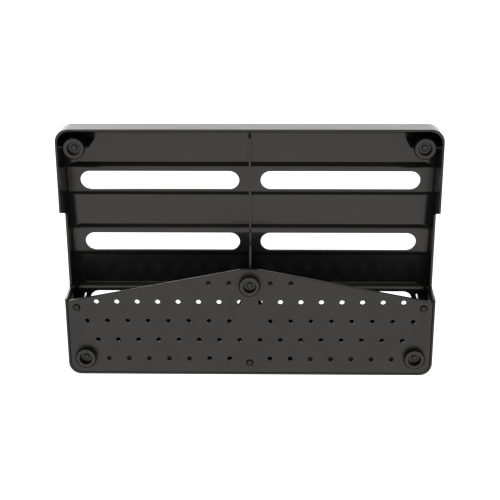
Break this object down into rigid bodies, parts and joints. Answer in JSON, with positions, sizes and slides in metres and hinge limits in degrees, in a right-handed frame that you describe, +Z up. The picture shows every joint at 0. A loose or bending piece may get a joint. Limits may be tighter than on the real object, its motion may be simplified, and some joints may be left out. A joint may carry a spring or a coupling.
{
  "type": "pedalboard",
  "caption": "Sloped folded-metal pedalboard with recessed cable slots, open sides, perforated rear bottom plate, centre rib and screwed rubber feet.",
  "frame": {"origin": "on the floor under the middle of the board, in the plane of the rubber feet", "axes": "+X to the player's right along the long side, -Y to the low front edge, +Y to the high rear edge, +Z up"},
  "size_m": [0.452, 0.3116, 0.0925],
  "materials": {
    "chassis_coat": "satin black powder coat",
    "plate_coat": "satin black powder coat",
    "bracket_coat": "satin black powder coat",
    "foot_rubber": "moulded black rubber",
    "black_screw": "black oxide steel",
    "plain_steel": "zinc plated steel"
  },
  "bodies": {
    "root": {"centre_foot": "foot_rubber", "centre_foot_nut": "plain_steel", "centre_foot_screw": "black_screw", "centre_foot_washer": "black_screw", "centre_rib": "bracket_coat", "chassis": "chassis_coat", "front_left_foot": "foot_rubber", "front_left_foot_bracket": "bracket_coat", "front_left_foot_screw": "black_screw", "front_left_foot_washer": "black_screw", "front_right_foot": "foot_rubber", "front_right_foot_bracket": "bracket_coat", "front_right_foot_screw": "black_screw", "front_right_foot_washer": "black_screw", "left_side_tab": "bracket_coat", "plate_insert_left": "plain_steel", "plate_insert_middle": "plain_steel", "plate_insert_right": "plain_steel", "plate_screw_left": "black_screw", "plate_screw_middle": "black_screw", "plate_screw_right": "black_screw", "rear_left_foot": "foot_rubber", "rear_left_foot_nut": "plain_steel", "rear_left_foot_screw": "black_screw", "rear_left_foot_washer": "black_screw", "rear_left_rail": "bracket_coat", "rear_middle_tab": "bracket_coat", "rear_plate": "plate_coat", "rear_right_foot": "foot_rubber", "rear_right_foot_nut": "plain_steel", "rear_right_foot_screw": "black_screw", "rear_right_foot_washer": "black_screw", "rear_right_rail": "bracket_coat", "right_side_tab": "bracket_coat"}
  },
  "joints": []
}
